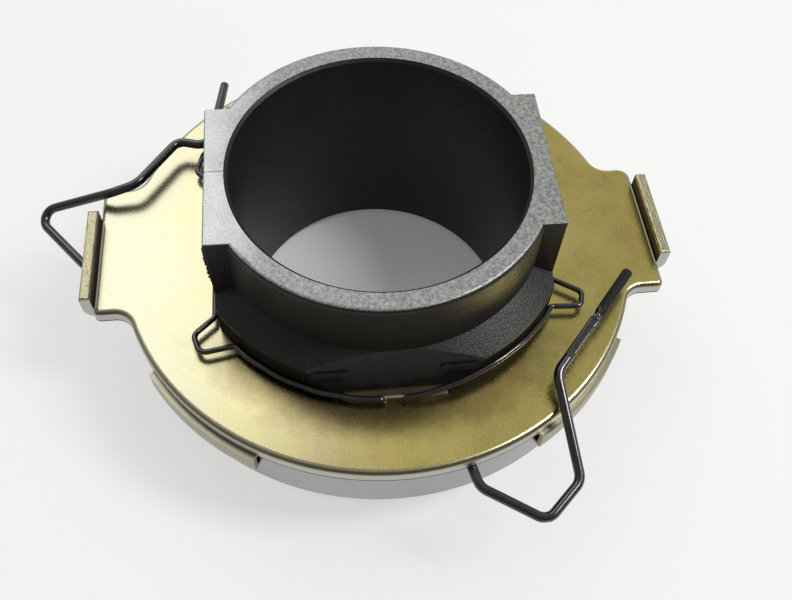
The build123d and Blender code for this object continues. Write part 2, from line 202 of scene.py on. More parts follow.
class FinishGraph:
    """One node material around a Principled shader, built up node by node."""

    def __init__(self, name: str) -> None:
        """Start an empty material.

        Args:
            name: the material's name.
        """
        self.material = bpy.data.materials.new(name)
        self.material.use_nodes = True
        self.tree = self.material.node_tree
        self.shader = self.tree.nodes["Principled BSDF"]
        self.position = self.add(NodeKind.COORDINATES).outputs["Object"]

    def add(self, kind: NodeKind) -> bpy.types.Node:
        """A new node of that kind."""
        return self.tree.nodes.new(kind.value)

    def link(self, source: Socket, target: Socket) -> None:
        """Join an output to an input."""
        self.tree.links.new(source, target)

    def set(self, **values: float | tuple[float, ...]) -> None:
        """Set plain values on the shader; an underscore stands for a space in a socket's name."""
        for name, value in values.items():
            self.shader.inputs[name.replace("_", " ")].default_value = value

    def drive(self, name: str, value: Socket) -> None:
        """Join a value to one of the shader's inputs."""
        self.link(value, self.shader.inputs[name])

    def along_axis(self, vector: Socket, axis: Axis) -> Socket:
        """One component of a vector.

        Args:
            vector: the vector.
            axis: which component.

        Returns:
            The component.
        """
        split = self.add(NodeKind.SEPARATE)
        self.link(vector, split.inputs[0])
        return split.outputs[axis.value]

    def place(self, axis: Axis) -> Socket:
        """Where a point lies along one axis of the object, in metres."""
        return self.along_axis(self.position, axis)

    def facing(self, axis: Axis) -> Socket:
        """How much the surface faces along one axis, from -1 to 1."""
        return self.along_axis(self.add(NodeKind.GEOMETRY).outputs["Normal"], axis)

    def mapped(self, vector: Socket, scale: Stretch) -> Socket:
        """A vector stretched along the axes.

        Args:
            vector: the vector.
            scale: the factor along each axis.

        Returns:
            The stretched vector.
        """
        mapping = self.add(NodeKind.MAPPING)
        mapping.inputs["Scale"].default_value = scale
        self.link(vector, mapping.inputs["Vector"])
        return mapping.outputs["Vector"]

    def stretched(self, scale: Stretch) -> Socket:
        """Object coordinates stretched along the axes."""
        return self.mapped(self.position, scale)

    def unwrapped(self, scale: Stretch) -> Socket:
        """The piece's own UV map, stretched along and across the surface."""
        return self.mapped(self.add(NodeKind.UV).outputs["UV"], scale)

    def radius(self) -> Socket:
        """How far a point lies from the bore's axis: the length of its position with the height left out.

        Returns:
            The distance in metres.
        """
        length = self.add(NodeKind.VECTOR_MATHS)
        length.operation = "LENGTH"
        self.link(self.stretched((1.0, 1.0, 0.0)), length.inputs[0])
        return length.outputs["Value"]

    def turned(self) -> Socket:
        """Coordinates in which only the radius and the height change, so that a pattern runs round the axis.

        Returns:
            The vector of the radius, nothing, and the height.
        """
        join = self.add(NodeKind.COMBINE)
        self.link(self.radius(), join.inputs[0])
        self.link(self.place(Axis.UP), join.inputs[2])
        return join.outputs[0]

    def noise(self, mottle: Mottle, vector: Socket | None = None) -> Socket:
        """Cloudy noise, from 0 to 1.

        Args:
            mottle: its size and octaves.
            vector: coordinates, or the object's own where left out.

        Returns:
            The noise value.
        """
        node = self.add(NodeKind.NOISE)
        node.inputs["Scale"].default_value = 1.0 / (mottle.size_mm * MM)
        node.inputs["Detail"].default_value = mottle.detail
        node.inputs["Roughness"].default_value = mottle.roughness
        self.link(vector or self.position, node.inputs["Vector"])
        return node.outputs["Fac"]

    def ramp(self, value: Socket, *stops: Stop) -> Socket:
        """A colour ramp over a value.

        Args:
            value: what drives the ramp.
            stops: places and colours, in rising order.

        Returns:
            The ramp's colour.
        """
        node = self.add(NodeKind.RAMP)
        set_stops(node.color_ramp, stops)
        self.link(value, node.inputs["Fac"])
        return node.outputs["Color"]

    def remap(self, value: Socket, source: Span, target: Span) -> Socket:
        """A value carried from one range to another, and held at its ends.

        Args:
            value: the value.
            source: the range it comes from.
            target: the range it goes to.

        Returns:
            The carried value.
        """
        node = self.add(NodeKind.MAP_RANGE)
        self.link(value, node.inputs["Value"])
        for name, number in zip(("From Min", "From Max", "To Min", "To Max"), (*source, *target)):
            node.inputs[name].default_value = number
        return node.outputs["Result"]

    def spread(self, noise: Socket, target: Span) -> Socket:
        """The middle range of a noise value carried to another range."""
        return self.remap(noise, NOISE_CORE, target)

    def rise(self, value: Socket, step: Step) -> Socket:
        """A mask that climbs from 0 to its share over a step."""
        return self.remap(value, (step.low, step.high), (0.0, step.share))

    def fall(self, value: Socket, step: Step) -> Socket:
        """A mask that drops from its share to 0 over a step."""
        return self.remap(value, (step.low, step.high), (step.share, 0.0))

    def between(self, value: Socket, step: Step, soft: float) -> Socket:
        """A mask that has its share between two bounds, fades at each, and is 0 outside.

        Args:
            value: what drives the mask.
            step: the two bounds and the share.
            soft: how far each fade reaches to either side of its bound.

        Returns:
            The mask.
        """
        start = Step(step.low - soft, step.low + soft, step.share)
        end = Step(step.high - soft, step.high + soft)
        return self.times(self.rise(value, start), self.fall(value, end))

    def maths(self, operation: Operation, first: Socket, second: Socket | float) -> Socket:
        """One operation on two values.

        Args:
            operation: what is done.
            first: the first value.
            second: the second value, or a plain number.

        Returns:
            The result.
        """
        node = self.add(NodeKind.MATH)
        node.operation = operation.value
        self.link(first, node.inputs[0])
        if isinstance(second, float):
            node.inputs[1].default_value = second
        else:
            self.link(second, node.inputs[1])
        return node.outputs["Value"]

    def times(self, first: Socket, second: Socket | float) -> Socket:
        """The product of two values."""
        return self.maths(Operation.MULTIPLY, first, second)

    def plus(self, first: Socket, second: Socket | float) -> Socket:
        """The sum of two values."""
        return self.maths(Operation.ADD, first, second)

    def unsigned(self, value: Socket) -> Socket:
        """A value without its sign."""
        return self.maths(Operation.ABSOLUTE, value, 0.0)

    def blend_values(self, share: Socket, first: Socket, second: Socket) -> Socket:
        """Two values mixed.

        Args:
            share: from 0, the first, to 1, the second.
            first: the first value.
            second: the second value.

        Returns:
            The mixed value.
        """
        first_at, second_at, result_at = VALUE_SOCKETS
        node = self.add(NodeKind.MIX)
        self.link(share, node.inputs["Factor"])
        self.link(first, node.inputs[first_at])
        self.link(second, node.inputs[second_at])
        return node.outputs[result_at]

    def blend(self, share: Socket, first: Socket | Colour, second: Socket | Colour) -> Socket:
        """Two colours mixed.

        Args:
            share: from 0, the first, to 1, the second.
            first: the first colour, plain or from a node.
            second: the second colour, plain or from a node.

        Returns:
            The mixed colour.
        """
        first_at, second_at, result_at = COLOUR_SOCKETS
        node = self.add(NodeKind.MIX)
        node.data_type = "RGBA"
        self.link(share, node.inputs["Factor"])
        for place, colour in ((first_at, first), (second_at, second)):
            if isinstance(colour, tuple):
                node.inputs[place].default_value = rgba(colour)
            else:
                self.link(colour, node.inputs[place])
        return node.outputs[result_at]

    def bump(self, height: Socket, relief: Relief, under: Socket | None = None) -> Socket:
        """A height turned into relief.

        Args:
            height: the height, from 0 to 1.
            relief: its depth and strength.
            under: another relief that this one lies on.

        Returns:
            The bent normal.
        """
        node = self.add(NodeKind.BUMP)
        node.inputs["Strength"].default_value = relief.strength
        node.inputs["Distance"].default_value = abs(relief.depth_mm) * MM
        node.invert = relief.depth_mm < 0.0
        self.link(height, node.inputs["Height"])
        if under is not None:
            self.link(under, node.inputs["Normal"])
        return node.outputs["Normal"]

    def finish(self, colour: Socket, roughness: Socket, normal: Socket) -> bpy.types.Material:
        """Join the patterns to the shader.

        Args:
            colour: the base colour.
            roughness: the roughness.
            normal: the relief.

        Returns:
            The material.
        """
        self.drive("Base Color", colour)
        self.drive("Roughness", roughness)
        self.drive("Normal", normal)
        return self.material


@dataclass(frozen=True)
class MouldedPlastic:
    """Black glass-filled plastic: a fine grain, pale flecks of fibre, and a greyer end face.

    A step in millimetres places a part of the sleeve, and a level is how far up a surface faces. What the
    skirt has for roughness and IOR, and the painted glare at the end face's left for IOR, is added to what
    lies under it.
    """

    name: str = "moulded_black"
    dark: Colour = (0.006, 0.006, 0.006)
    light: Colour = (0.013, 0.013, 0.012)
    fleck: Colour = (0.05, 0.05, 0.048)
    bloom: Colour = (0.085, 0.09, 0.085)
    bloom_fleck: Colour = (0.29, 0.30, 0.29)
    # Painted glare: the left of the end face is greyer where the window's reflection falls.
    glare_grey: Colour = (0.42, 0.43, 0.44)
    # Painted light: the bore's wall is paler in a cloudy pattern.
    bore_light_paint: Colour = (0.017, 0.017, 0.017)
    cloud: Mottle = Mottle(9.0, 4.0)
    grain: Mottle = Mottle(0.45, 3.0, 0.7)
    fibre: Mottle = Mottle(0.55, 2.0, 0.65)
    pit: Mottle = Mottle(0.85, 3.0, 0.62)
    fibre_step: Step = Step(0.57, 0.74, 0.6)
    pit_step: Step = Step(0.36, 0.64)
    end_face_mm: Step = Step(25.4, 26.3)
    end_face_level: Step = Step(0.72, 0.92)
    bore_edge_mm: Step = Step(35.0, 35.5)
    bore_light_share: Span = (0.4, 1.0)
    painted_glare_mm: Step = Step(-37.0, -24.0, 0.88)
    painted_glare_wander_mm: Span = (-4.0, 4.0)
    skirt_top_mm: Step = Step(6.5, 7.5)
    skirt_reach_mm: Step = Step(42.0, 42.5)
    parting_mm: Step = Step(0.4, 0.6)
    parting_soft_mm: float = 0.05
    parting_reach_mm: Step = Step(-33.2, -32.9)
    parting_share: float = 0.75
    body_rough: Span = (0.27, 0.42)
    end_face_rough: Span = (0.22, 0.36)
    skirt_rough: float = 0.35
    body_to_end_face_ior: Span = (1.38, 2.1)
    skirt_ior: float = -0.18
    painted_glare_ior: float = 1.1
    grain_relief: Relief = Relief(0.10, 0.9)
    cloud_relief: Relief = Relief(0.12, 0.25)
    parting_relief: Relief = Relief(-0.12, 0.8)

    def build(self) -> bpy.types.Material:
        """The finished material.

        The end face is whatever lies high and faces up, the skirt is whatever lies low and far out, and the
        parting line is a narrow band across the left wing's top and down its side.

        Returns:
            The material.
        """
        graph = FinishGraph(self.name)
        graph.set(Metallic=0.0)
        clouds = graph.noise(self.cloud)
        grain = graph.noise(self.grain)
        height = graph.place(Axis.UP)
        across = graph.place(Axis.ACROSS)
        reach = graph.radius()
        end_face = graph.times(graph.rise(height, self.end_face_mm.metres()),
                               graph.rise(graph.facing(Axis.UP), self.end_face_level))
        skirt = graph.times(graph.fall(height, self.skirt_top_mm.metres()),
                            graph.rise(reach, self.skirt_reach_mm.metres()))
        parting = graph.between(graph.place(Axis.ALONG), self.parting_mm.metres(), self.parting_soft_mm * MM)
        parting = graph.times(parting, graph.fall(across, self.parting_reach_mm.metres()))
        # Painted glare: towards the left the end face turns paler grey and glossier, where the window's
        # reflection falls.
        left = graph.plus(across, graph.spread(clouds, in_metres(self.painted_glare_wander_mm)))
        painted_glare = graph.fall(left, self.painted_glare_mm.metres())

        body = graph.blend(clouds, self.dark, self.light)
        # Painted light: the bore's wall is painted paler.
        bore = graph.fall(reach, self.bore_edge_mm.metres())
        bore_light = graph.times(bore, graph.spread(clouds, self.bore_light_share))
        body = graph.blend(bore_light, body, self.bore_light_paint)
        body = graph.blend(graph.rise(graph.noise(self.fibre), self.fibre_step), body, self.fleck)
        pits = graph.rise(graph.noise(self.pit), self.pit_step)
        bared_and_glare = graph.blend(painted_glare, graph.blend(pits, self.bloom, self.bloom_fleck), self.glare_grey)
        colour = graph.blend(end_face, body, bared_and_glare)
        colour = graph.blend(graph.times(parting, self.parting_share), colour, self.dark)

        roughness = graph.blend_values(end_face, graph.spread(grain, self.body_rough),
                                       graph.spread(grain, self.end_face_rough))
        roughness = graph.plus(roughness, graph.times(skirt, self.skirt_rough))
        gloss = graph.remap(end_face, WHOLE, self.body_to_end_face_ior)
        gloss = graph.plus(gloss, graph.times(skirt, self.skirt_ior))
        gloss = graph.plus(gloss, graph.times(graph.times(painted_glare, end_face), self.painted_glare_ior))
        graph.drive("IOR", gloss)

        relief = graph.bump(grain, self.grain_relief)
        relief = graph.bump(clouds, self.cloud_relief, relief)
        relief = graph.bump(parting, self.parting_relief, relief)
        return graph.finish(colour, roughness, relief)


@dataclass(frozen=True)
class PassivatedPlate:
    """Yellow passivated sheet: satin metal, mottled olive and gold, with bare edges and torn tab tops.

    A step in millimetres places a part of the plate, and a level is how far up or down a surface faces. What
    the painted shade by the tabs and the sides have for roughness is added to the film's.
    """

    name: str = "passivated_plate"
    gold: Colour = (0.56, 0.46, 0.12)
    olive: Colour = (0.46, 0.38, 0.075)
    brown: Colour = (0.41, 0.28, 0.05)
    # Painted highlight: the plate's left turns paler where the window's reflection falls.
    window_sheen: Colour = (0.445, 0.42, 0.295)
    glint: Colour = (0.66, 0.58, 0.30)
    # Painted reflection and shade of the sleeve: darker brown round its skirt.
    sleeve_reflection: Colour = (0.15, 0.09, 0.012)
    # Painted shade on the rim's roll, and a painted highlight in a paler band along the top of the roll.
    rim: Colour = (0.22, 0.20, 0.13)
    wear_and_sheen: Colour = (0.52, 0.50, 0.42)
    stain: Colour = (0.20, 0.17, 0.08)
    cut: Colour = (0.48, 0.48, 0.45)
    torn: Colour = (0.43, 0.41, 0.29)
    torn_low: Colour = (0.34, 0.30, 0.15)
    # Painted shade in the corners at the foot of the tabs, also used for the dark line of the joint under
    # the rim.
    shade_and_joint_dark: Colour = (0.012, 0.009, 0.005)
    coat: float = 0.22
    coat_rough: float = 0.5
    coat_ior: float = 1.5
    patch: Mottle = Mottle(26.0, 4.0, 0.6)
    blotch: Mottle = Mottle(5.0, 4.0, 0.6)
    speckle: Mottle = Mottle(0.6, 2.0, 0.5)
    spot: Mottle = Mottle(4.2, 3.0, 0.5)
    spot_stretch: Stretch = (1.0, 1.25, 1.0)
    tear: Mottle = Mottle(0.45, 3.0, 0.65)
    tear_stretch: Stretch = (1.0, 0.16, 1.0)
    film_stops: tuple[float, float, float] = (0.36, 0.50, 0.64)
    blotch_step: Step = Step(0.35, 0.75, 0.55)
    spot_step: Step = Step(0.66, 0.76, 0.50)
    fleck_step: Step = Step(0.28, 0.46, 0.13)
    glint_step: Step = Step(0.42, 0.66, 0.16)
    window_sheen_mm: Step = Step(-52.0, -2.0)
    window_sheen_wander_mm: Span = (-8.0, 8.0)
    sleeve_reflection_mm: Step = Step(44.0, 55.0, 0.85)
    sleeve_reflection_wander_mm: Span = (-2.0, 2.0)
    sleeve_reflection_depth_mm: Step = Step(22.0, 34.0)
    rim_level: Step = Step(0.80, 0.97, 0.8)
    edge_sheen_level: Step = Step(0.88, 0.985, 0.75)
    edge_sheen_soft: float = 0.02
    side_level: Step = Step(0.25, 0.45)
    tab_wall_level: Step = Step(0.6, 0.8)
    tab_wall_reach_mm: Step = Step(65.0, 65.4)
    tab_wall_depth_mm: Step = Step(15.0, 15.4)
    tab_top_mm: Step = Step(3.3, 3.7)
    joint_mm: Step = Step(-2.91, -2.79)
    tab_corner_shade_reach_mm: Step = Step(65.6, 66.42)
    tab_corner_shade_reach_soft_mm: float = 0.08
    tab_corner_shade_height_mm: Step = Step(0.05, 3.2)
    tab_corner_shade_height_soft_mm: float = 0.15
    film_rough: Span = (0.23, 0.28)
    tab_corner_shade_rough: float = 0.30
    side_rough: float = 0.15
    torn_relief: Relief = Relief(0.25, 0.9)

    def film(self, graph: FinishGraph, speckle: Socket) -> Socket:
        """The passivated film's colour on the open plate.

        Wide patches run from brown to gold, with blotches, stains, dark and bright specks. Towards the left
        the film turns paler as a painted highlight of the window, and round the sleeve's skirt at the front
        and the rear it is darkened as a painted reflection and shade of the sleeve.

        Args:
            graph: the material's graph.
            speckle: the finest noise.

        Returns:
            The colour.
        """
        patches = graph.noise(self.patch)
        blotches = graph.noise(self.blotch)
        spots = graph.noise(self.spot, graph.stretched(self.spot_stretch))
        depth = graph.unsigned(graph.place(Axis.ALONG))
        colour = graph.ramp(patches, *zip(self.film_stops, (self.brown, self.olive, self.gold)))
        colour = graph.blend(graph.rise(blotches, self.blotch_step), colour, self.gold)
        colour = graph.blend(graph.rise(spots, self.spot_step), colour, self.stain)
        colour = graph.blend(graph.fall(speckle, self.fleck_step), colour, self.stain)
        colour = graph.blend(graph.rise(speckle, self.glint_step), colour, self.glint)
        # Painted highlight: paler towards the left, where the window's reflection falls.
        left = graph.plus(graph.place(Axis.ACROSS), graph.spread(patches, in_metres(self.window_sheen_wander_mm)))
        colour = graph.blend(graph.fall(left, self.window_sheen_mm.metres()), colour, self.window_sheen)
        # Painted reflection and shade of the sleeve: darker round its skirt at the front and the rear.
        near = graph.plus(graph.radius(), graph.spread(blotches, in_metres(self.sleeve_reflection_wander_mm)))
        sleeve_reflected = graph.times(graph.fall(near, self.sleeve_reflection_mm.metres()),
                              graph.rise(depth, self.sleeve_reflection_depth_mm.metres()))
        return graph.blend(sleeve_reflected, colour, self.sleeve_reflection)

    def build(self) -> bpy.types.Material:
        """The finished material.

        What faces sideways is a cut edge, apart from the tabs' inner and outer walls, which keep the film.
        Painted shade darkens the plate against the tabs' inner faces, and a dark line runs along the joint
        under the plate's rim.

        Returns:
            The material.
        """
        graph = FinishGraph(self.name)
        graph.set(Metallic=1.0, Coat_Weight=self.coat, Coat_Roughness=self.coat_rough,
                  Coat_IOR=self.coat_ior)
        speckle = graph.noise(self.speckle)
        height = graph.place(Axis.UP)
        reach = graph.unsigned(graph.place(Axis.ACROSS))
        depth = graph.unsigned(graph.place(Axis.ALONG))
        level = graph.unsigned(graph.facing(Axis.UP))

        colour = self.film(graph, speckle)
        # Painted shade: the rim's roll is darker where it turns down; painted highlight: a paler band along
        # its top.
        colour = graph.blend(graph.fall(level, self.rim_level), colour, self.rim)
        colour = graph.blend(graph.between(level, self.edge_sheen_level, self.edge_sheen_soft), colour, self.wear_and_sheen)
        tab_wall = graph.rise(graph.unsigned(graph.facing(Axis.ACROSS)), self.tab_wall_level)
        tab_wall = graph.times(tab_wall, graph.rise(reach, self.tab_wall_reach_mm.metres()))
        tab_wall = graph.times(tab_wall, graph.fall(depth, self.tab_wall_depth_mm.metres()))
        sideways = graph.times(graph.fall(level, self.side_level), graph.remap(tab_wall, WHOLE, (1.0, 0.0)))
        colour = graph.blend(sideways, colour, self.cut)
        colour = graph.blend(graph.fall(height, self.joint_mm.metres()), colour, self.shade_and_joint_dark)

        tab_top = graph.rise(height, self.tab_top_mm.metres())
        torn_lines = graph.noise(self.tear, graph.stretched(self.tear_stretch))
        colour = graph.blend(tab_top, colour, graph.blend(torn_lines, self.torn_low, self.torn))
        # Painted shade: dark in the corners at the foot of the tabs.
        tab_corner_shade = graph.times(
            graph.between(reach, self.tab_corner_shade_reach_mm.metres(), self.tab_corner_shade_reach_soft_mm * MM),
            graph.between(height, self.tab_corner_shade_height_mm.metres(), self.tab_corner_shade_height_soft_mm * MM))
        colour = graph.blend(tab_corner_shade, colour, self.shade_and_joint_dark)

        roughness = graph.spread(speckle, self.film_rough)
        roughness = graph.plus(roughness, graph.times(tab_corner_shade, self.tab_corner_shade_rough))
        roughness = graph.plus(roughness, graph.times(sideways, self.side_rough))
        relief = graph.bump(graph.times(torn_lines, tab_top), self.torn_relief)
        return graph.finish(colour, roughness, relief)


@dataclass(frozen=True)
class BlackWire:
    """Blackened spring wire: dark, oily, drawn lengthwise, and matt paint on the right hook's end."""

    name: str = "spring_wire"
    dark: Colour = (0.008, 0.008, 0.009)
    wear_and_sheen: Colour = (0.024, 0.024, 0.025)
    scraped: Colour = (0.20, 0.20, 0.20)
    paint: Colour = (0.004, 0.004, 0.004)
    wear: Mottle = Mottle(4.0, 4.0, 0.6)
    wear_stops: Span = (0.50, 0.80)
    drawing: Mottle = Mottle(1.2, 2.0, 0.5)
    drawing_stretch: Stretch = (0.05, 3.0, 1.0)
    scrape_step: Step = Step(0.62, 0.80, 0.20)
    haze: Mottle = Mottle(1.5)
    paint_mm: Step = Step(47.1, 47.6)
    bare_rough: Span = (0.14, 0.26)
    paint_rough: float = 0.40
    bare_to_paint_coat: Span = (0.4, 0.0)
    bare_to_paint_specular: Span = (0.6, 0.25)
    coat_rough: float = 0.08
    drawn_relief: Relief = Relief(0.02, 0.3)

    def build(self) -> bpy.types.Material:
        """The finished material, in which the paint covers what lies far enough to the right.

        Returns:
            The material.
        """
        graph = FinishGraph(self.name)
        graph.set(Metallic=0.0, Coat_Roughness=self.coat_rough)
        lines = graph.noise(self.drawing, graph.unwrapped(self.drawing_stretch))
        painted = graph.rise(graph.place(Axis.ACROSS), self.paint_mm.metres())
        colour = graph.ramp(graph.noise(self.wear), *zip(self.wear_stops, (self.dark, self.wear_and_sheen)))
        colour = graph.blend(graph.rise(lines, self.scrape_step), colour, self.scraped)
        colour = graph.blend(painted, colour, self.paint)
        roughness = graph.spread(graph.noise(self.haze), self.bare_rough)
        roughness = graph.plus(roughness, graph.times(painted, self.paint_rough))
        graph.drive("Coat Weight", graph.remap(painted, WHOLE, self.bare_to_paint_coat))
        graph.drive("Specular IOR Level", graph.remap(painted, WHOLE, self.bare_to_paint_specular))
        return graph.finish(colour, roughness, graph.bump(lines, self.drawn_relief))


@dataclass(frozen=True)
class TurnedSteel:
    """Bright steel with fine lines round the bore axis, as a press or a lathe leaves it."""

    name: str
    tint: Colour
    shade: Colour
    rough: Span = (0.24, 0.36)
    line: Mottle = Mottle(0.35, 3.0, 0.65)
    cloud: Mottle = Mottle(12.0, 5.0, 0.6)
    mark: Mottle = Mottle(3.0, 5.0, 0.7)
    line_step: Step = Step(0.35, 0.65, 0.35)
    mark_step: Step = Step(0.55, 0.75, 0.10)
    line_relief: Relief = Relief(0.014, 0.7)

    def build(self) -> bpy.types.Material:
        """The finished material: a clouded tint, shaded and roughened along the lines.

        Returns:
            The material.
        """
        graph = FinishGraph(self.name)
        graph.set(Metallic=1.0)
        lines = graph.noise(self.line, graph.turned())
        colour = graph.blend(graph.noise(self.cloud), self.shade, self.tint)
        colour = graph.blend(graph.rise(lines, self.line_step), colour, self.shade)
        roughness = graph.spread(lines, self.rough)
        roughness = graph.plus(roughness, graph.rise(graph.noise(self.mark), self.mark_step))
        return graph.finish(colour, roughness, graph.bump(lines, self.line_relief))


@dataclass(frozen=True)
class PlainFinish:
    """A quiet surface for hidden pieces: one tone with a soft cloud over it."""

    name: str
    tone: Colour
    metallic: float
    roughness: float
    cloud: Mottle = Mottle(3.0)
    dark_share: float = 0.8
    rough_shares: Span = (0.85, 1.1)
    cloud_relief: Relief = Relief(0.01, 0.3)

    def build(self) -> bpy.types.Material:
        """The finished material.

        Returns:
            The material.
        """
        graph = FinishGraph(self.name)
        graph.set(Metallic=self.metallic)
        clouds = graph.noise(self.cloud)
        darker = tuple(self.dark_share * part for part in self.tone)
        low, high = self.rough_shares
        colour = graph.blend(clouds, darker, self.tone)
        roughness = graph.spread(clouds, (low * self.roughness, high * self.roughness))
        return graph.finish(colour, roughness, graph.bump(clouds, self.cloud_relief))


@dataclass
class Dresser:
    """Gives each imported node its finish."""

    nodes: dict[str, bpy.types.Object]
    finishes: dict[str, bpy.types.Material]

    def dress(self, slots: dict[str, str]) -> None:
        """Put the slot's finish on every node.

        Args:
            slots: the material slot of each node.
        """
        for name, slot in slots.items():
            mesh = self.nodes[name].data
            mesh.materials.clear()
            mesh.materials.append(self.finishes[slot])
            LOG.info("node %s is finished as %s", name, slot)


def unit(vectors: np.ndarray) -> np.ndarray:
    """The vectors of an array, each brought to length 1."""
    return vectors / np.linalg.norm(vectors, axis=-1, keepdims=True)


def eased(values: np.ndarray, low: float, high: float) -> np.ndarray:
    """A smooth step from 0 at low to 1 at high: 3t^2 - 2t^3 of the share t between them."""
    share = np.clip((values - low) / (high - low), 0.0, 1.0)
    return share * share * (3.0 - 2.0 * share)


def bell(values: np.ndarray, middle: float, width: float) -> np.ndarray:
    """A bell curve of height 1: e to the power of minus the square of the distance over the width."""
    return np.exp(-((values - middle) / width) ** 2)


def lengths_along(line: np.ndarray) -> np.ndarray:
    """How far along a line each of its points lies: the running sum of the steps between them."""
    return np.concatenate([[0.0], np.cumsum(np.linalg.norm(np.diff(line, axis=0), axis=1))])


def points_at(line: np.ndarray, along: np.ndarray) -> np.ndarray:
    """The points at given distances along a line, each coordinate taken in proportion between its points."""
    reached = lengths_along(line)
    return np.stack([np.interp(along, reached, line[:, axis]) for axis in range(3)], axis=-1)


def ring_mesh(name: str, rings: np.ndarray, lengths: np.ndarray) -> bpy.types.Object:
    """A closed skin over rings of points, with a fan on each end.

    Ring i, point j is joined to its neighbours by quads; a point in the middle of each end ring closes it.
    The UV map runs u along the piece in metres and v round it.

    Args:
        name: the piece's name.
        rings: points in metres, shaped (rings, points round, 3).
        lengths: how far along the piece each ring lies, in metres.

    Returns:
        The new object, linked to the scene.
    """
    count, around, _ = rings.shape
    points = np.vstack([rings.reshape(-1, 3), rings[0].mean(axis=0), rings[-1].mean(axis=0)])
    row, column = np.meshgrid(np.arange(count - 1), np.arange(around), indexing="ij")
    ahead = (column + 1) % around
    quads = np.stack([row * around + column, row * around + ahead,
                      (row + 1) * around + ahead, (row + 1) * around + column], axis=-1).reshape(-1, 4)
    spoke = np.arange(around)
    beside = (spoke + 1) % around
    base = (count - 1) * around
    first = np.stack([beside, spoke, np.full(around, count * around)], axis=-1)
    last = np.stack([base + spoke, base + beside, np.full(around, count * around + 1)], axis=-1)
    mesh = bpy.data.meshes.new(name)
    mesh.from_pydata(points, [], quads.tolist() + first.tolist() + last.tolist())
    along = np.append(np.repeat(lengths, around), [lengths[0], lengths[-1]])
    corners = np.concatenate([quads.ravel(), first.ravel(), last.ravel()])
    turn = np.concatenate([(np.stack([column, column + 1, column + 1, column], axis=-1) / around).ravel(),
                           np.zeros(first.size + last.size)])
    layer = mesh.uv_layers.new(name="wrap")
    layer.data.foreach_set("uv", np.stack([along[corners], turn * WRAP_SHARE], axis=-1).ravel())
    mesh.polygons.foreach_set("use_smooth", np.arange(len(mesh.polygons)) < len(quads))
    return placed(name, mesh)


